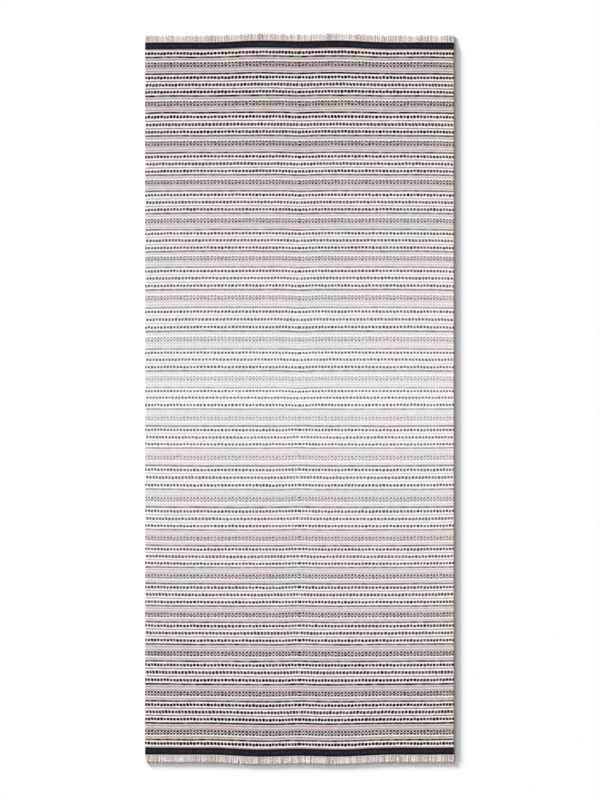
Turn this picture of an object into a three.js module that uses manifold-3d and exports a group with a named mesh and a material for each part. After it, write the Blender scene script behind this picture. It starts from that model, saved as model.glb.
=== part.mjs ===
// A flat-woven cotton runner, lying flat and face up.
// Millimetres. X runs across the rug, Y along it and Z up. The origin is the middle of the underside.

import * as THREE from 'three';
import { mergeVertices } from 'three/addons/utils/BufferGeometryUtils.js';
import Module from 'manifold-3d';

// The cloth
const rugWidth = 700;
const clothLength = 1616.6;
const clothThickness = 4;
const warpCount = 186;
const warpCrowding = 0.058;
const ribRise = 0.45;
const samplesPerRib = 4;
const selvedgeInset = 0.8;
const selvedgeSteps = 2;
const selvedgeUpright = 0.35;

// How far each end of the cloth swings in and out of line: so many half waves from the middle to a selvedge
const endWaves = [
  { halfWaves: 1, swing: 2.29 },
  { halfWaves: 2, swing: 0.25 },
  { halfWaves: 3, swing: -0.71 },
  { halfWaves: 4, swing: -0.57 },
];

// The heading, a few light picks that lock each end of the cloth, a hair away from it
const headingGap = 0.35;
const headingWidth = 2.7;
const headingThickness = 3.4;

// The fringe: each lock is two warp ends that lie together
const warpsPerLock = 2;
const warpsPerHeadingStep = 3;
const lockRoot = { width: 4.4, thickness: 2.5 };
const lockTip = { width: 2.8, thickness: 1.7 };
const lockLength = 12.4;
const lockLengthSpread = 1.3;
const lockSway = 1.5;
const lockTopShare = 0.6;
const rootDepth = 1;

// Where a lock bends, as shares of its length and of the sway at its tip
const lockBend = { along: 0.5, sway: 0.3 };

// Two waves along the row of locks, out of step with each other, make it uneven
const unevenWaves = [
  { radiansPerLock: 0.83, offset: 1, share: 0.55 },
  { radiansPerLock: 2.47, offset: 1.9, share: 0.45 },
];

const lockCount = warpCount / warpsPerLock;

const wovenCotton = new THREE.MeshStandardMaterial({ color: 0xc9c2bf, roughness: 0.95, metalness: 0 });
const fringeCotton = new THREE.MeshStandardMaterial({ color: 0xe9e1d9, roughness: 0.95, metalness: 0 });

// The x that lies so many warps in from the left selvedge. They crowd a little at both selvedges and at the middle
function warpPlace(warps) {
  const share = (2 * warps) / warpCount - 1;
  return (rugWidth / 2) * (share - (warpCrowding / (2 * Math.PI)) * Math.sin(2 * Math.PI * share));
}

// Distance from the middle of the rug to the end of the cloth, at x
function clothEnd(x) {
  const fromMiddle = Math.abs(x) / (rugWidth / 2);
  const swings = endWaves.map(({ halfWaves, swing }) => swing * Math.cos(Math.PI * halfWaves * fromMiddle));
  return clothLength / 2 + swings.reduce((sum, swing) => sum + swing, 0);
}

// A closed solid through a row of four-cornered rings, each ordered the same way round
function ringSolid(rings) {
  const corners = rings[0].length;
  const last = (rings.length - 1) * corners;
  const positions = rings.flat().flatMap((point) => point.toArray());
  const faces = [];
  for (let ring = 0; ring < last; ring += corners) {
    for (let corner = 0; corner < corners; corner += 1) {
      const a = ring + corner;
      const b = ring + ((corner + 1) % corners);
      faces.push(a, b, b + corners);
      faces.push(a, b + corners, a + corners);
    }
  }
  faces.push(0, 2, 1, 0, 3, 2);
  faces.push(last, last + 1, last + 2, last, last + 2, last + 3);
  const geometry = new THREE.BufferGeometry();
  geometry.setAttribute('position', new THREE.Float32BufferAttribute(positions, 3));
  geometry.setIndex(faces);
  geometry.computeVertexNormals();
  return geometry;
}

// A ring that stands across X at x, between two y and two heights
function ringAcross(x, nearY, farY, bottom, top) {
  return [
    new THREE.Vector3(x, nearY, bottom),
    new THREE.Vector3(x, farY, bottom),
    new THREE.Vector3(x, farY, top),
    new THREE.Vector3(x, nearY, top),
  ];
}

// The weft bulges over every warp: a parabola from furrow to furrow, so many warps in from the left
function ribHeight(warps) {
  const fromCrest = 2 * (warps - Math.floor(warps)) - 1;
  return clothThickness - ribRise * fromCrest * fromCrest;
}

// The panel: ribs from side to side, each as long as the cloth, and a rounded edge at both selvedges
function makeCloth() {
  const rings = [];
  const middle = (clothThickness - ribRise) / 2;
  const roundedRing = (side, step) => {
    const angle = (Math.PI / 2) * (step / (selvedgeSteps + 1));
    const x = side * (rugWidth / 2 - selvedgeInset * (1 - Math.cos(angle)));
    const half = middle * (selvedgeUpright + (1 - selvedgeUpright) * Math.sin(angle));
    return ringAcross(x, -clothEnd(x), clothEnd(x), middle - half, middle + half);
  };
  for (let step = 0; step <= selvedgeSteps; step += 1) {
    rings.push(roundedRing(-1, step));
  }
  const samples = warpCount * samplesPerRib;
  for (let sample = 1; sample < samples; sample += 1) {
    const warps = sample / samplesPerRib;
    const x = warpPlace(warps);
    rings.push(ringAcross(x, -clothEnd(x), clothEnd(x), 0, ribHeight(warps)));
  }
  for (let step = selvedgeSteps; step >= 0; step -= 1) {
    rings.push(roundedRing(1, step));
  }
  return ringSolid(rings);
}

// The strip of heading at the far end, which follows the end of the cloth
function makeHeading() {
  const rings = [];
  for (let warps = 0; warps <= warpCount; warps += warpsPerHeadingStep) {
    const x = warpPlace(warps);
    const inner = clothEnd(x) + headingGap;
    rings.push(ringAcross(x, inner, inner + headingWidth, 0, headingThickness));
  }
  return ringSolid(rings);
}

// A smooth, uneven run of numbers from -1 to 1 along the row of locks, another for each start
function unevenness(lock, start) {
  return unevenWaves.reduce((sum, { radiansPerLock, offset, share }) => (
    sum + share * Math.sin(radiansPerLock * lock + offset * start)
  ), 0);
}

// A ring of a lock, lying on the floor at (x, y): flat below and narrower on top
function lockRing(x, y, { width, thickness }) {
  const half = width / 2;
  return [
    new THREE.Vector3(x + half, y, 0),
    new THREE.Vector3(x - half, y, 0),
    new THREE.Vector3(x - half * lockTopShare, y, thickness),
    new THREE.Vector3(x + half * lockTopShare, y, thickness),
  ];
}

// One lock of the far fringe, from inside the heading to its tip
function makeLock(lock) {
  const x = warpPlace((lock + 0.5) * warpsPerLock);
  const rootY = clothEnd(x) + headingGap + headingWidth;
  const length = lockLength + lockLengthSpread * unevenness(lock, 1);
  const bendSway = lockSway * lockBend.sway * unevenness(lock, 3);
  const tipSway = lockSway * unevenness(lock, 4);
  return ringSolid([
    lockRing(x, rootY - rootDepth, lockRoot),
    lockRing(x + bendSway, rootY + length * lockBend.along, lockRoot),
    lockRing(x + tipSway, rootY + length, lockTip),
  ]);
}

const wasm = await Module();
wasm.setup();

function toSolid(geometry) {
  const bare = geometry.clone();
  bare.deleteAttribute('normal');
  const merged = mergeVertices(bare, 1e-5);
  return new wasm.Manifold(new wasm.Mesh({
    numProp: 3,
    vertProperties: new Float32Array(merged.attributes.position.array),
    triVerts: new Uint32Array(merged.index.array),
  }));
}

function toGeometry(solid) {
  const { vertProperties, triVerts } = solid.getMesh();
  const geometry = new THREE.BufferGeometry();
  geometry.setAttribute('position', new THREE.BufferAttribute(vertProperties, 3));
  geometry.setIndex(new THREE.BufferAttribute(triVerts, 1));
  geometry.computeVertexNormals();
  return geometry;
}

// The far fringe: every lock grows out of the heading
function makeFringe() {
  let fringe = toSolid(makeHeading());
  for (let lock = 0; lock < lockCount; lock += 1) {
    fringe = fringe.add(toSolid(makeLock(lock)));
  }
  return toGeometry(fringe);
}

const group = new THREE.Group();

const cloth = new THREE.Mesh(makeCloth(), wovenCotton);
cloth.name = 'cloth';
group.add(cloth);

const fringeGeometry = makeFringe();

const fringeFar = new THREE.Mesh(fringeGeometry, fringeCotton);
fringeFar.name = 'fringe_far';
group.add(fringeFar);

// The near fringe is the far one turned half way round
const fringeNear = new THREE.Mesh(fringeGeometry, fringeCotton);
fringeNear.name = 'fringe_near';
fringeNear.rotation.z = Math.PI;
group.add(fringeNear);

export default group;
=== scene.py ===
import math

import bpy
import numpy as np
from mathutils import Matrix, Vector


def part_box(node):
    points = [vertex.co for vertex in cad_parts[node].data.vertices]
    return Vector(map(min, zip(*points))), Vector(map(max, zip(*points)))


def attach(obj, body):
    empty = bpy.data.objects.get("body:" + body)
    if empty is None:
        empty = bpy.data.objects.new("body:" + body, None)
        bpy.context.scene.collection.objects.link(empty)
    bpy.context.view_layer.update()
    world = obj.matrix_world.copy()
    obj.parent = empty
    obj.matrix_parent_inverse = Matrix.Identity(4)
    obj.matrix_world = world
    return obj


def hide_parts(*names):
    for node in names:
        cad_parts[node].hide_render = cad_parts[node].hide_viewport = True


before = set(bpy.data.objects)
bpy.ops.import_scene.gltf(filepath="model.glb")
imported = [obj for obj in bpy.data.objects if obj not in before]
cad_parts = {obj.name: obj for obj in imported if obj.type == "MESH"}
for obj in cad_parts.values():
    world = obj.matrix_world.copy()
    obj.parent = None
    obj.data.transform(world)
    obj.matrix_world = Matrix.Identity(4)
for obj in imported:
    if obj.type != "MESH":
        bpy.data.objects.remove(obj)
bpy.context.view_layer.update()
mm = 0.001

# The cloth's width and thickness are the frame's; its length is the mean of its uneven ends
clothLow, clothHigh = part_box("cloth")
cloth = {
    "width": clothHigh.x - clothLow.x,
    "length": 1616.6 * mm,
    "thickness": clothHigh.z - clothLow.z,
    "warps": 186,
    "crowding": 0.058,
    "samplesPerRib": 4,
    "ribDepth": 0.45 * mm,
    "selvedgeSteps": 4,
    "selvedgeUpright": 0.2,
}

# The weft is beaten up unevenly. Each repeat of the rows starts at a row of tall dots. For each, from the
# middle of the rug to an end, the distance in millimetres to three of its rows, and once for all, in
# picks, how far out they lie. The last row of tall dots is followed by two of these rows and the end band
beat = {
    "columns": ("toDarkLine", "toThirdDots", "toTallDots"),
    "picks": (23.4, 65.2, 80),
    "repeats": [
        (24.5, 71.5, 88.5),
        (24, 73.5, 91),
        (27, 76.5, 93.5),
        (25, 69, 85.5),
        (24.5, 70, 86.5),
        (25.5, 70.5, 87),
        (25.5, 72.5, 89),
        (27, 74, 90),
    ],
    "lastRows": (25.5, 72),
    "picksPerRepeat": 80,
    "endPicks": 728,
}

# How the rows stray from straight lines
stray = {
    "endWaves": [(1, 2.29 * mm), (2, 0.25 * mm), (3, -0.71 * mm), (4, -0.57 * mm)],
    "endReach": 100 * mm,
    "selvedgePull": 1.6 * mm,
    "selvedgeReach": 50 * mm,
    "selvedgeOnset": 150 * mm,
    "dip": 1.1 * mm,
    "dipWidth": 26 * mm,
    "dipTurnsAt": -30 * mm,
    "dipTurnsOver": 12 * mm,
}


# The x that lies so many warps in from the left selvedge: an even spread less a sine, which crowds the
# warps a little at both selvedges and at the middle
def warpPlace(warps):
    share = 2 * warps / cloth["warps"] - 1
    return cloth["width"] / 2 * (share - cloth["crowding"] / (2 * np.pi) * np.sin(2 * np.pi * share))


# How far an end of the cloth swings outwards: a sum of cosines, each of so many half waves to a selvedge
def endSwing(x):
    fromMiddle = np.abs(x) / (cloth["width"] / 2)
    return sum(swing * np.cos(np.pi * halfWaves * fromMiddle) for halfWaves, swing in stray["endWaves"])


# Distance along Y that a weft row strays at x: the end's own swing, which fades away from the end, then a
# pull towards the middle of the rug at the selvedges and a dip along its middle line
def rowStray(x, y):
    nearEnd = np.exp((np.abs(y) - cloth["length"] / 2) / stray["endReach"])
    fromEdge = cloth["width"] / 2 - np.abs(x)
    onset = np.tanh(y / stray["selvedgeOnset"])
    pull = stray["selvedgePull"] * np.exp(-fromEdge / stray["selvedgeReach"]) * onset
    turn = np.tanh((y - stray["dipTurnsAt"]) / stray["dipTurnsOver"])
    dip = stray["dip"] * np.exp(-((x / stray["dipWidth"]) ** 2)) * turn
    return np.sign(y) * nearEnd * endSwing(x) - (1 - nearEnd) * (pull + dip)


# Distance from the middle of the rug to each row that the table gives, in order from the middle row to the
# end of the cloth, and the number of picks up to there, which is the same for each repeat
def beatenRows():
    repeats = np.array(beat["repeats"])
    toTallDots = repeats[:, beat["columns"].index("toTallDots")]
    starts = np.append(0, np.cumsum(toTallDots))
    picks = (np.arange(len(starts)) * beat["picksPerRepeat"])[:, None] + np.array(beat["picks"])
    inRepeats = (starts[:-1, None] + repeats).ravel()
    lastRows = starts[-1] + np.array(beat["lastRows"])
    places = np.concatenate([[0], inRepeats * mm, lastRows * mm, [cloth["length"] / 2]])
    picks = np.concatenate([[0], picks.ravel()[: len(places) - 2], [beat["endPicks"]]])
    return places, picks


# Pick number of a straight row at y, counted from the middle of the rug: even steps between those rows
def pickNumber(y):
    return np.sign(y) * np.interp(np.abs(y), *beatenRows())


sharpAngle = 50  # degrees between two faces, past which the edge between them stays sharp


# A mesh object at the origin, shaded smooth but for its sharp edges, with one UV pair for each face corner
def addPiece(name, points, faces, cornerUv, uvName, material):
    mesh = bpy.data.meshes.new(name)
    mesh.from_pydata(points.reshape(-1, 3).tolist(), [], faces)
    layer = mesh.uv_layers.new(name=uvName)
    layer.data.foreach_set("uv", np.asarray(cornerUv, np.float32).ravel())
    mesh.polygons.foreach_set("use_smooth", [True] * len(faces))
    mesh.materials.append(material)
    mesh.set_sharp_from_angle(angle=math.radians(sharpAngle))
    mesh.update()
    mesh.validate()
    piece = bpy.data.objects.new(name, mesh)
    bpy.context.scene.collection.objects.link(piece)
    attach(piece, "root")
    print(name, len(points.reshape(-1, 3)), "points,", len(faces), "faces")
    return piece


# Colours are given as they look, 0 to 255, and shaders take them linear
def linear(look):
    shares = [part / 255 for part in look]
    return [s / 12.92 if s <= 0.04045 else ((s + 0.055) / 1.055) ** 2.4 for s in shares] + [1]


# A shader socket in a Python expression: each operator adds one Math node
class Value:
    def __init__(self, shader, socket):
        self.shader = shader
        self.socket = socket

    def math(self, operation, *others):
        return self.shader.add("ShaderNodeMath", {"operation": operation}, dict(enumerate((self, *others))))

    def __add__(self, other):
        return self.math("ADD", other)

    def __sub__(self, other):
        return self.math("SUBTRACT", other)

    def __rsub__(self, other):
        return self.shader.add("ShaderNodeMath", {"operation": "SUBTRACT"}, {0: other, 1: self})

    def __mul__(self, other):
        return self.math("MULTIPLY", other)

    def __truediv__(self, other):
        return self.math("DIVIDE", other)

    def __pow__(self, other):
        return self.math("POWER", other)

    def __abs__(self):
        return self.math("ABSOLUTE")

    __radd__ = __add__

    # 1 past stop, 0 before start and a soft step between, whichever of the two is larger
    def step(self, start, stop):
        settings = {"interpolation_type": "SMOOTHSTEP"}
        return self.shader.add("ShaderNodeMapRange", settings, {0: self, 1: start, 2: stop})

    # Another number from 0 to 1 out of this one: what lies past the point once it is multiplied
    def redrawn(self, factor):
        return (self * factor).math("FRACT")

    # Another output of the same node
    def output(self, name):
        return Value(self.shader, self.socket.node.outputs[name])


# A material built node by node, ending in one Principled shader
class Shader:
    def __init__(self, name, constants):
        self.material = bpy.data.materials.new(name)
        self.material.use_nodes = True
        self.tree = self.material.node_tree
        self.surface = self.tree.nodes["Principled BSDF"]
        for socket, value in constants.items():
            self.surface.inputs[socket].default_value = value

    # Any node: its settings first, then the values or links of its sockets
    def add(self, kind, settings, sockets, output=0):
        node = self.tree.nodes.new(kind)
        for name, value in settings.items():
            setattr(node, name, value)
        for name, value in sockets.items():
            if isinstance(value, Value):
                self.tree.links.new(value.socket, node.inputs[name])
            else:
                node.inputs[name].default_value = value
        return Value(self, node.outputs[output])

    def link(self, value, socket):
        self.tree.links.new(value.socket, self.surface.inputs[socket])

    def bump(self, height, strength, distance):
        sockets = {"Strength": strength, "Distance": distance, "Height": height}
        self.link(self.add("ShaderNodeBump", {}, sockets), "Normal")

    def vector(self, x, y, z=0):
        return self.add("ShaderNodeCombineXYZ", {}, {0: x, 1: y, 2: z})

    def noise(self, x, y, detail):
        sockets = {"Vector": self.vector(x, y), "Scale": 1, "Detail": detail}
        return self.add("ShaderNodeTexNoise", {"noise_dimensions": "2D"}, sockets)

    # A number from 0 to 1 for each cell of whole x, y and z
    def lot(self, x, y, z=0):
        sockets = {"Vector": self.vector(x, y, z)}
        return self.add("ShaderNodeTexWhiteNoise", {"noise_dimensions": "3D"}, sockets)

    def mix(self, share, first, second):
        return self.add("ShaderNodeMix", {"data_type": "RGBA"}, {0: share, 6: first, 7: second}, output=2)

    def uv(self, name):
        pair = self.add("ShaderNodeUVMap", {"uv_map": name}, {})
        split = self.add("ShaderNodeSeparateXYZ", {}, {0: pair})
        return split, split.output("Y")


# The woven pattern. Each yarn is given as it looks, 0 to 255, where its dye leans to wine and where it
# leans to green
yarns = {
    "white": ((241, 231, 228), (236, 231, 226)),
    "bright": ((246, 240, 238), (245, 242, 238)),
    "blush": ((207, 187, 186), (200, 190, 186)),
    "taupe": ((176, 156, 155), (167, 158, 153)),
    "stone": ((146, 130, 128), (137, 131, 126)),
    "slate": ((106, 88, 90), (95, 95, 90)),
    "brown": ((60, 32, 34), (42, 38, 34)),
    "black": ((34, 16, 15), (18, 16, 11)),
    "ink": ((16, 15, 20), (14, 15, 18)),
    "navy": ((31, 25, 38), (25, 30, 40)),
    "steel": ((66, 60, 78), (60, 66, 80)),
    "rose": ((158, 118, 122), (160, 130, 129)),
}

# One repeat of the rows, later ones over earlier ones. Centre and half height are in picks, outwards from
# the row of tall dots. Columns are the warps that a row shows over, counted from 0 on both sides of the
# middle line. Width is half that of a dot in warps, and lean how far it leans, in warps for each pick.
# Strength is the share of its yarn that shows at the ends of the rug, and middle is how much of that is left
# in the middle
rowColumns = ("centre", "half", "columns", "width", "lean", "yarn", "strength", "middle")
repeatRows = [
    (31.5, 5.2, "all", 0, 0, "blush", 0.8, 0.3),
    (52.3, 2.7, "all", 0, 0, "blush", 0.8, 0.3),
    (35.3, 2.2, "all", 0, 0, "taupe", 0.85, 0.3),
    (42.2, 5.0, "all", 0, 0, "stone", 1.05, 0.2),
    (7.6, 1.4, "all", 0, 0, "slate", 1, 0.2),
    (28.8, 1.3, "all", 0, 0, "slate", 0.6, 0.3),
    (51.8, 1.3, "all", 0, 0, "slate", 0.55, 0.2),
    (72.3, 1.4, "all", 0, 0, "slate", 1, 0.3),
    (23.4, 2.0, "all", 0, 0, "black", 1.05, 0.48),
    (57.3, 2.0, "all", 0, 0, "black", 0.93, 0.68),
    (42.4, 1.3, "odd", 0.72, 0, "slate", 1, 0.5),
    (42.4, 1.1, "even", 0.6, 0, "white", 1, 0.8),
    (39.8, 1.3, "odd", 0.6, 0, "white", 1, 0.6),
    (45.0, 1.3, "odd", 0.6, 0, "white", 0.9, 0.6),
    (39.8, 1.9, "even", 0.74, 0, "black", 1.4, 0.44),
    (45.0, 1.8, "even", 0.74, 0, "black", 1.3, 0.36),
    (15.1, 2.6, "all", 0, 0, "taupe", 0.65, 0.5),
    (65.2, 2.6, "all", 0, 0, "taupe", 0.65, 0.5),
    (0.0, 2.6, "all", 0, 0, "taupe", 0.9, 0.55),
    (15.1, 3.1, "even", 0.8, 0.02, "black", 1.03, 0.8),
    (65.2, 3.1, "even", 0.82, 0.02, "black", 1.03, 0.78),
    (0.0, 3.5, "odd", 0.72, 0.03, "brown", 1, 0.74),
]

# The bands at each end, from the pick where each starts
bandColumns = ("start", "yarn")
endBands = [(709, "white"), (710.9, "blush"), (712.3, "rose"), (714.1, "ink"), (717.6, "navy"), (724, "ink")]

# How fast each noise of the weave changes, and its detail
noiseColumns = ("perWarp", "perPick", "detail")
weaveNoises = {
    "wander": (0.045, 0.05, 2),
    "sideways": (0.3, 0.12, 1),
    "cast": (0.05, 0.35, 1),
    "fuzz": (9, 5, 3),
}

weave = {
    # All rows: how their contrast grows towards the ends, how soft their edges are and how far they stray
    "fadeCurve": 1.4,
    "edgeSoftness": 0.5,
    "rowWander": 1.4,
    "warpWander": 0.9,
    "zigzag": 0.45,
    "middleLift": 1.85,
    "liftReach": 30,
    # Plain rows: how fast their strength changes along them, its least value and its spread
    "runPerWarp": 0.3,
    "runPerRepeat": 7.3,
    "runDetail": 3,
    "runLeast": 0.65,
    "runSpread": 0.7,
    # Dots: where the first one lies from the middle line, in warps, and how their size, place and depth vary
    "firstDot": {"even": 0.5, "odd": 1.5},
    "dotCurve": 3,
    "dotEdge": (1.25, 0.75),
    "dotSpread": 0.4,
    "middleDotSize": 0.5,
    "dotLift": 0.9,
    "liftDraw": 8,
    "dotFade": 0.16,
    "fadeDraw": 23,
    # Bits of yarn: the lean of their dye, their tone, and where and how strongly the navy is flecked
    "castEdge": (0.4, 0.6),
    "grainTone": 0.05,
    "toneLot": 5,
    "fleckFrom": (717, 719),
    "fleckTo": (724.5, 722.5),
    "fleckLot": 9,
    "fleckEdge": (0.4, 1),
    "fleckShare": 0.4,
    # The surface
    "smoothest": 0.84,
    "roughnessSpread": 0.12,
    "pillowHeight": 0.8,
    "fuzzHeight": 0.4,
    "bumpStrength": 0.5,
    "bumpDepth": 0.25 * mm,
}


def wovenCotton():
    shader = Shader("woven cotton", {"Specular IOR Level": 0.12, "Sheen Weight": 0.05})
    warp, pick = shader.uv("weave")

    def noise(name):
        part = dict(zip(noiseColumns, weaveNoises[name]))
        return shader.noise(warp * part["perWarp"], pick * part["perPick"], part["detail"])

    # Hand-woven rows wander a little up and down, the middle ones lie a little further along, and dots
    # stray sideways
    wander = noise("wander") - 0.5
    row = pick + wander * weave["rowWander"] - abs(pick).step(weave["liftReach"], 0) * weave["middleLift"]
    sideways = noise("sideways") - 0.5
    warpsFromMiddle = abs(warp - cloth["warps"] / 2 + sideways * weave["warpWander"])
    side = (warp - cloth["warps"] / 2).math("SIGN")
    end = pick.math("SIGN")
    fromMiddle = abs(row)
    endness = (fromMiddle / beat["endPicks"]).math("MINIMUM", 1) ** weave["fadeCurve"]
    zigzag = ((warpsFromMiddle - 0.5).math("PINGPONG", 1) - 0.5) * weave["zigzag"]

    # The dye leans one way or the other for a stretch of a row
    cast = noise("cast").step(*weave["castEdge"])
    yarn = {name: shader.mix(cast, *(linear(look) for look in looks)) for name, looks in yarns.items()}

    # How much a plain row shows: all of it within its half height, more or less along its run
    def plainRow(part, repeat):
        near = (fromMiddle + zigzag - part["centre"]).math("PINGPONG", beat["picksPerRepeat"] / 2)
        ownLine = repeat * weave["runPerRepeat"] + end * part["centre"]
        run = shader.noise(warp * weave["runPerWarp"], ownLine, weave["runDetail"])
        soft = weave["edgeSoftness"]
        within = near.step(part["half"] + soft, part["half"] - soft)
        return within * (run * weave["runSpread"] + weave["runLeast"])

    # How much the nearest dot of a row shows: across and along are the distances from its middle, in half
    # widths and half heights, and it ends where the sum of their cubes passes its size
    def dotRow(part, repeat):
        firstDot = weave["firstDot"][part["columns"]]
        beyond = fromMiddle - part["centre"] - repeat * beat["picksPerRepeat"]
        leaning = warpsFromMiddle + beyond * part["lean"] - firstDot
        luck = shader.lot((leaning / 2 + 0.5).math("FLOOR") * side, repeat * end, part["centre"] + firstDot)
        lift = (luck.redrawn(weave["liftDraw"]) - 0.5) * weave["dotLift"]
        across = leaning.math("PINGPONG", 1) / part["width"]
        along = abs(beyond + lift) / part["half"]
        growth = endness * (1 - weave["middleDotSize"]) + weave["middleDotSize"]
        size = (luck * weave["dotSpread"] + 1 - weave["dotSpread"] / 2) * growth
        depth = luck.redrawn(weave["fadeDraw"]) * weave["dotFade"] + 1 - weave["dotFade"] / 2
        cubes = across ** weave["dotCurve"] + along ** weave["dotCurve"]
        return (cubes / size).step(*weave["dotEdge"]) * depth

    colour = shader.mix(endness, yarn["bright"], yarn["white"])
    for rowValues in repeatRows:
        part = dict(zip(rowColumns, rowValues))
        repeat = ((fromMiddle - part["centre"]) / beat["picksPerRepeat"] + 0.5).math("FLOOR")
        fade = (endness * (1 - part["middle"]) + part["middle"]) * part["strength"]
        mask = plainRow(part, repeat) if part["columns"] == "all" else dotRow(part, repeat)
        colour = shader.mix((mask * fade).math("MINIMUM", 1), colour, yarn[part["yarn"]])

    # The end bands: white up to the last row, a thread or two of rose, then navy with an inky edge on
    # both sides
    band = fromMiddle + zigzag
    soft = weave["edgeSoftness"]
    for bandValues in endBands:
        part = dict(zip(bandColumns, bandValues))
        within = band.step(part["start"] - soft, part["start"] + soft)
        colour = shader.mix(within, colour, yarn[part["yarn"]])

    # Each visible bit of weft has a tone of its own, and some in the navy are paler
    column = warp.math("FLOOR")
    halfPicks = (pick + column.math("MODULO", 2)) / 2
    grain = halfPicks.math("FLOOR")
    tone = shader.lot(column, grain, weave["toneLot"])
    flecked = band.step(*weave["fleckFrom"]) * band.step(*weave["fleckTo"])
    flecks = shader.lot(column, grain, weave["fleckLot"]).step(*weave["fleckEdge"]) * flecked
    colour = shader.mix(flecks * weave["fleckShare"], colour, yarn["steel"])
    shade = tone * weave["grainTone"] * 2 + (1 - weave["grainTone"])
    grey = shader.add("ShaderNodeCombineColor", {}, {0: shade, 1: shade, 2: shade})
    settings = {"data_type": "RGBA", "blend_type": "MULTIPLY"}
    colour = shader.add("ShaderNodeMix", settings, {0: 1, 6: colour, 7: grey}, output=2)
    shader.link(colour, "Base Color")
    shader.link(weave["smoothest"] + tone * weave["roughnessSpread"], "Roughness")

    # The weft swells over each warp and sinks between
    pillow = 1 - ((halfPicks.math("FRACT") * 2 - 1) ** 2)
    height = pillow * weave["pillowHeight"] + noise("fuzz") * weave["fuzzHeight"]
    shader.bump(height, weave["bumpStrength"], weave["bumpDepth"])
    return shader.material


# The sheet: a closed surface whose loops run along the top and back along the underside, side by side
# across the rug. The weft swells over each warp as a parabola, and half an ellipse rounds each selvedge
def wovenSheet(material):
    turn = np.linspace(0, np.pi / 2, cloth["selvedgeSteps"], endpoint=False)
    edge = 0.5 * (1 - np.cos(turn))
    rounding = cloth["selvedgeUpright"] + (1 - cloth["selvedgeUpright"]) * np.sin(turn)
    ribs = np.linspace(0.5, cloth["warps"] - 0.5, (cloth["warps"] - 1) * cloth["samplesPerRib"] + 1)
    warps = np.concatenate([edge, ribs, cloth["warps"] - edge[::-1]])
    fullness = np.concatenate([rounding, np.ones(len(ribs)), rounding[::-1]])
    inRib = np.mod(warps, 1) * 2 - 1
    sunk = np.where(fullness < 1, 0, cloth["ribDepth"] * inRib**2)
    halfThick = fullness * (cloth["thickness"] / 2 - sunk)

    half = beatenRows()[0]
    rows = np.concatenate([-half[:0:-1], half])

    x = warpPlace(warps)[:, None]
    y = rows + rowStray(x, rows)
    top = np.stack(np.broadcast_arrays(x, y, cloth["thickness"] / 2 + halfThick[:, None]), axis=-1)
    under = np.stack(np.broadcast_arrays(x, y, cloth["thickness"] / 2 - halfThick[:, None]), axis=-1)
    points = np.concatenate([top, under[:, ::-1]], axis=1)

    # The underside shows the other warp of each pair
    u = np.broadcast_to(warps[:, None], y.shape)
    v = np.broadcast_to(pickNumber(rows), y.shape)
    uv = np.concatenate([np.stack([u, v], -1), np.stack([u + 1, v], -1)[:, ::-1]], axis=1).reshape(-1, 2)

    columns, loop = points.shape[:2]
    number = np.arange(columns * loop).reshape(columns, loop)
    onward = np.roll(number, -1, axis=1)
    walls = np.stack([number[:-1], number[1:], onward[1:], onward[:-1]], -1).reshape(-1, 4)
    rowCount = len(rows)
    first = np.stack([number[0, : rowCount - 1], number[0, 1:rowCount]], -1)
    back = number[0, ::-1][:rowCount]
    left = np.stack([first[:, 0], first[:, 1], back[1:], back[:-1]], -1)
    right = left[:, ::-1] + number[-1, 0]
    faces = np.concatenate([walls, left, right])
    return addPiece("woven_cloth", points, faces.tolist(), uv[faces.ravel()], "weave", material)


capReach = 0.5  # how far a cap reaches past the end of its yarn, in radii
roundShare = 0.98  # keeps the number of a face corner below that of the next yarn, all the way round


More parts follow.
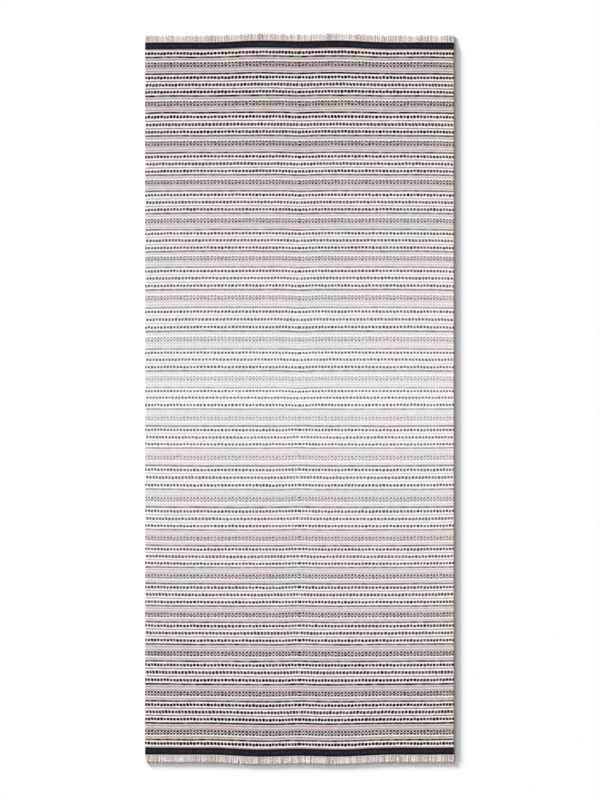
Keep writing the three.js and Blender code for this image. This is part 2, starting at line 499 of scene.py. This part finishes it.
# Yarns along many centre lines at once: rings of points in the plane across each line, and a pointed cap at
# both ends. The centres are (yarns, rings, 3) and the radius (yarns, rings), and flat is height over width
def yarnTubes(centres, radius, sides, flat=1.0):
    count, rings = centres.shape[:2]
    tangent = np.gradient(centres, axis=1)
    tangent /= np.linalg.norm(tangent, axis=-1, keepdims=True)
    across = np.cross(tangent, [0.0, 0.0, 1.0])
    across /= np.linalg.norm(across, axis=-1, keepdims=True)
    upward = np.cross(across, tangent)
    angle = np.arange(sides) / sides * 2 * np.pi
    reach = radius[:, :, None, None]
    ring = across[:, :, None] * np.cos(angle)[:, None] + flat * upward[:, :, None] * np.sin(angle)[:, None]
    body = (centres[:, :, None] + reach * ring).reshape(count, rings * sides, 3)
    outwards = np.array([-capReach, capReach])[:, None]
    tips = centres[:, [0, -1]] + tangent[:, [0, -1]] * radius[:, [0, -1], None] * outwards
    points = np.concatenate([body, tips], axis=1)

    stride = rings * sides + 2
    start = np.arange(count)[:, None] * stride
    grid = np.meshgrid(np.arange(rings - 1), np.arange(sides), indexing="ij")
    ringNumber, sideNumber = (part.ravel() for part in grid)
    nextSide = (sideNumber + 1) % sides
    corner = ringNumber * sides
    onward = corner + sides
    quads = np.stack([corner + sideNumber, corner + nextSide, onward + nextSide, onward + sideNumber], -1)
    side = np.arange(sides)
    lastRing = (rings - 1) * sides
    nearCap = np.stack([(side + 1) % sides, side, np.full(sides, stride - 2)], -1)
    farCap = np.stack([lastRing + side, lastRing + (side + 1) % sides, np.full(sides, stride - 1)], -1)
    caps = np.concatenate([nearCap, farCap])

    # For each face corner: the yarn's number plus the share of the way round, and the distance along in mm
    along = np.concatenate([[0], np.cumsum(np.linalg.norm(np.diff(centres[0], axis=0), axis=-1))]) / mm
    quadRound = np.stack([sideNumber, sideNumber + 1, sideNumber + 1, sideNumber], -1) / sides
    quadAlong = along[np.stack([ringNumber, ringNumber, ringNumber + 1, ringNumber + 1], -1)]
    capRound = np.tile(np.stack([side, side + 1, side + 0.5], -1) / sides, (2, 1))
    capAlong = np.repeat(along[[0, -1]], sides)[:, None] * np.ones(3)
    number = np.arange(count)[:, None]
    uvQuads = np.stack(np.broadcast_arrays(number + quadRound.ravel() * roundShare, quadAlong.ravel()), -1)
    uvCaps = np.stack(np.broadcast_arrays(number + capRound.ravel() * roundShare, capAlong.ravel()), -1)
    faces = (quads.ravel() + start).reshape(-1, 4).tolist() + (caps.ravel() + start).reshape(-1, 3).tolist()
    cornerUv = np.concatenate([uvQuads.reshape(-1, 2), uvCaps.reshape(-1, 2)])
    return points, faces, cornerUv


# The heading: light picks that lock each end of the cloth
heading = {
    "picks": 2,
    "gap": 0.25 * mm,
    "pickWidth": 1.2 * mm,
    "pickSpacing": 1.15 * mm,
    "flatness": 0.8,
    "middleHeight": 1.95 * mm,
    "swing": 1.2 * mm,
    "fromSelvedge": 0.1,
    "samplesPerWarp": 5,
    "sides": 8,
}


# Each pick follows the end of the cloth and goes over and under the warps as a cosine, opposite to its
# neighbour. It starts and stops a share of a warp in from the selvedges
def headingPicks(end):
    inset = heading["fromSelvedge"]
    warps = np.linspace(inset, cloth["warps"] - inset, cloth["warps"] * heading["samplesPerWarp"] + 1)
    x = warpPlace(warps)
    pick = np.arange(heading["picks"])[:, None]
    out = heading["gap"] + heading["pickWidth"] / 2 + pick * heading["pickSpacing"]
    y = end * (cloth["length"] / 2 + endSwing(x) + out)
    z = heading["middleHeight"] + heading["swing"] * np.cos(np.pi * (warps - 0.5 + pick))
    centres = np.stack(np.broadcast_arrays(x, y, z), axis=-1)
    radius = np.full(centres.shape[:2], heading["pickWidth"] / 2)
    return yarnTubes(centres, radius, heading["sides"], heading["flatness"])


# The fringe: each warp end is three plies twisted together, and neighbours lie in pairs
fringe = {
    "plies": 3,
    "length": 17.9 * mm,
    "lengthSpread": 0.8 * mm,
    "plyRadius": 0.72 * mm,
    "spread": 0.85 * mm,
    "tipSpread": 1.3 * mm,
    "flare": 1 * mm,
    "twistLength": 6.5 * mm,
    "pairPull": 0.1,
    "sway": 1.5 * mm,
    "swayCurve": 1.6,
    "pairSwaySpread": 0.5,
    "ownSwaySpread": 0.4,
    "curl": 0.6 * mm,
    "curlTurns": 1.3,
    "opensLate": 3,
    "tipTaper": 0.35,
    "taperFrom": 0.8,
    "rootDepth": 0.6 * mm,
    "rootHeight": 1.95 * mm,
    "landsAt": 0.4,
    "rings": 15,
    "sides": 7,
    "seeds": {"far": 8, "near": 6},
}


# From 0 to 1 with a soft start and stop: three times the square less twice the cube
def ease(share):
    return share**2 * (3 - 2 * share)


# The centre of a ply goes round the centre of its warp end as a helix that opens towards the tip. The
# warp end leaves the cloth at mid thickness, sinks to the floor and lies on it
def fringeYarns(end, name):
    chance = np.random.default_rng(fringe["seeds"][name])
    warps = cloth["warps"]
    plies = fringe["plies"]
    warp = np.arange(warps)[:, None, None]
    ply = np.arange(plies)[None, :, None]
    along = np.linspace(0, 1, fringe["rings"])[None, None, :]
    x0 = warpPlace(warp + 0.5)
    pairMiddle = warpPlace(warp // 2 * 2 + 1)
    pairSway = np.repeat(chance.normal(0, fringe["pairSwaySpread"], (warps // 2, 1, 1)), 2, axis=0)
    ownSway = chance.normal(0, fringe["ownSwaySpread"], (warps, 1, 1))
    length = fringe["length"] + fringe["lengthSpread"] * chance.uniform(-1, 1, (warps, plies, 1))
    curlStart = chance.uniform(0, 1, (warps, plies, 1))
    twistStart = chance.uniform(0, 1, (warps, 1, 1))
    x = x0 + (pairMiddle - x0) * fringe["pairPull"] * ease(along)
    x = x + fringe["sway"] * (pairSway + ownSway) * along ** fringe["swayCurve"]
    x = x + fringe["flare"] * along * x0 / (cloth["width"] / 2)
    x = x + fringe["curl"] * along * np.sin(2 * np.pi * (along * fringe["curlTurns"] + curlStart))
    y = cloth["length"] / 2 + endSwing(x0) - fringe["rootDepth"] + length * along
    spread = fringe["spread"] + (fringe["tipSpread"] - fringe["spread"]) * along ** fringe["opensLate"]
    angle = 2 * np.pi * (along * length / fringe["twistLength"] + twistStart + ply / plies)
    sink = ease(np.clip(along / fringe["landsAt"], 0, 1))
    floorHeight = fringe["plyRadius"] + fringe["spread"]
    z = fringe["rootHeight"] + (floorHeight - fringe["rootHeight"]) * sink
    x = x + spread * np.cos(angle)
    z = np.maximum(z + fringe["spread"] * np.sin(angle), fringe["plyRadius"])
    centres = np.stack(np.broadcast_arrays(x, end * y, z), axis=-1).reshape(warps * plies, -1, 3)
    nearTip = np.clip((along - fringe["taperFrom"]) / (1 - fringe["taperFrom"]), 0, 1)
    taper = 1 - fringe["tipTaper"] * nearTip**2
    everyRing = (warps, plies, fringe["rings"])
    radius = np.broadcast_to(fringe["plyRadius"] * taper, everyRing).reshape(warps * plies, -1)
    return yarnTubes(centres, radius, fringe["sides"])


# Fibres run along each yarn, slanted by its twist. Tone is a mix of two lots, the warp end's and the ply's
fringeLooks = {
    "pale": (255, 252, 250),
    "dark": (196, 176, 170),
    "fibre": (204, 184, 179),
    "warpEndLot": 3,
    "plyLot": 4,
    "warpEndShare": 0.3,
    "toneEdge": (0.4, 0.8),
    "fibresRound": 9,
    "fibreSlant": 1.1,
    "fibresAlong": 0.35,
    "fibreDetail": 3,
    "fibreEdge": (0.3, 0.7),
    "fibreShare": 0.4,
    "smoothest": 0.86,
    "roughnessSpread": 0.1,
    "bumpStrength": 0.6,
    "bumpDepth": 0.2 * mm,
}


def fringeCotton():
    looks = fringeLooks
    shader = Shader("fringe cotton", {"Specular IOR Level": 0.2, "Sheen Weight": 0.1})
    around, along = shader.uv("yarn")
    warpEndTone = shader.lot((around / fringe["plies"]).math("FLOOR"), looks["warpEndLot"])
    plyTone = shader.lot(around.math("FLOOR"), looks["plyLot"])
    tone = warpEndTone * looks["warpEndShare"] + plyTone * (1 - looks["warpEndShare"])
    slanted = around * looks["fibresRound"] + along * looks["fibreSlant"]
    fibres = shader.noise(slanted, along * looks["fibresAlong"], looks["fibreDetail"])
    colour = shader.mix(tone.step(*looks["toneEdge"]), linear(looks["pale"]), linear(looks["dark"]))
    fibreMask = fibres.step(*looks["fibreEdge"]) * looks["fibreShare"]
    shader.link(shader.mix(fibreMask, colour, linear(looks["fibre"])), "Base Color")
    shader.link(looks["smoothest"] + fibres * looks["roughnessSpread"], "Roughness")
    shader.bump(fibres, looks["bumpStrength"], looks["bumpDepth"])
    return shader.material


# A pale floor, far wider than the rug and a hair below it
ground = {
    "reach": 60,
    "depth": 0.05 * mm,
    "look": (247, 247, 247),
    "roughness": 0.9,
    "gloss": 0.1,
}


def paleFloor():
    constants = {
        "Base Color": linear(ground["look"]),
        "Roughness": ground["roughness"],
        "Specular IOR Level": ground["gloss"],
    }
    shader = Shader("pale floor", constants)
    mesh = bpy.data.meshes.new("floor")
    reach = ground["reach"]
    corners = [(-reach, -reach), (reach, -reach), (reach, reach), (-reach, reach)]
    mesh.from_pydata([(x, y, -ground["depth"]) for x, y in corners], [], [(0, 1, 2, 3)])
    mesh.materials.append(shader.material)
    floor = bpy.data.objects.new("floor", mesh)
    bpy.context.scene.collection.objects.link(floor)
    return floor


# Soft light all round and far lamps on the upper left: one for the rug, and a low one and a wide one for
# the floor, where the rug's shadow falls right and down. Power is in watts per square metre, and the
# angles are in degrees
light = {
    "sky": 0.26,
    "rugLamp": {"power": 4.6, "elevation": 35, "azimuth": 135, "softness": 14},
    "floorLamp": {"power": 11.9, "elevation": 8, "azimuth": 133, "softness": 6},
    "floorGlow": {"power": 2.6, "elevation": 20, "azimuth": 133, "softness": 24},
}


def softSky():
    world = bpy.data.worlds.new("soft sky")
    world.use_nodes = True
    world.node_tree.nodes["Background"].inputs["Color"].default_value = (1, 1, 1, 1)
    world.node_tree.nodes["Background"].inputs["Strength"].default_value = light["sky"]
    bpy.context.scene.world = world
    bpy.context.scene.view_settings.view_transform = "Standard"


# A far lamp that lights the given pieces alone
def softLamp(name, litPieces):
    settings = light[name]
    lamp = bpy.data.lights.new(name, "SUN")
    lamp.energy = settings["power"]
    lamp.angle = math.radians(settings["softness"])
    holder = bpy.data.objects.new(name, lamp)
    holder.rotation_euler = (0, math.radians(90 - settings["elevation"]), math.radians(settings["azimuth"]))
    bpy.context.scene.collection.objects.link(holder)
    lit = bpy.data.collections.new("lit by " + name)
    for piece in litPieces:
        lit.objects.link(piece)
    holder.light_linking.receiver_collection = lit


# The camera looks straight down. The rug's place in the picture is in pixels, the lens in millimetres
view = {
    "picture": (600, 800),
    "rugMiddle": (299.5, 398.5),
    "rugWidth": 309,
    "lens": 85,
    "sensor": 36,
}


def photoCamera():
    camera = bpy.data.cameras.new("camera")
    camera.lens = view["lens"]
    camera.sensor_width = view["sensor"]
    holder = bpy.data.objects.new("camera", camera)
    metresPerPixel = cloth["width"] / view["rugWidth"]
    across = (view["picture"][0] / 2 - view["rugMiddle"][0]) * metresPerPixel
    down = (view["picture"][1] / 2 - view["rugMiddle"][1]) * metresPerPixel
    seen = view["picture"][1] * metresPerPixel
    holder.location = (across, -down, cloth["thickness"] + seen * view["lens"] / view["sensor"])
    bpy.context.scene.collection.objects.link(holder)
    bpy.context.scene.camera = holder


photoCamera()
floor = paleFloor()
print("camera and floor done")

clothPiece = wovenSheet(wovenCotton())
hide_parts("cloth")
print("cloth done")

fringeMaterial = fringeCotton()
trimmings = []
for end, name in ((1, "far"), (-1, "near")):
    picks = addPiece("heading_" + name, *headingPicks(end), "yarn", fringeMaterial)
    warpEnds = addPiece("warp_ends_" + name, *fringeYarns(end, name), "yarn", fringeMaterial)
    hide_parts("fringe_" + name)
    for piece in (picks, warpEnds):
        trimmings.append(piece)
print("headings and fringes done")

softSky()
softLamp("rugLamp", [clothPiece, *trimmings])
softLamp("floorLamp", [floor])
softLamp("floorGlow", [floor])
print("light done")
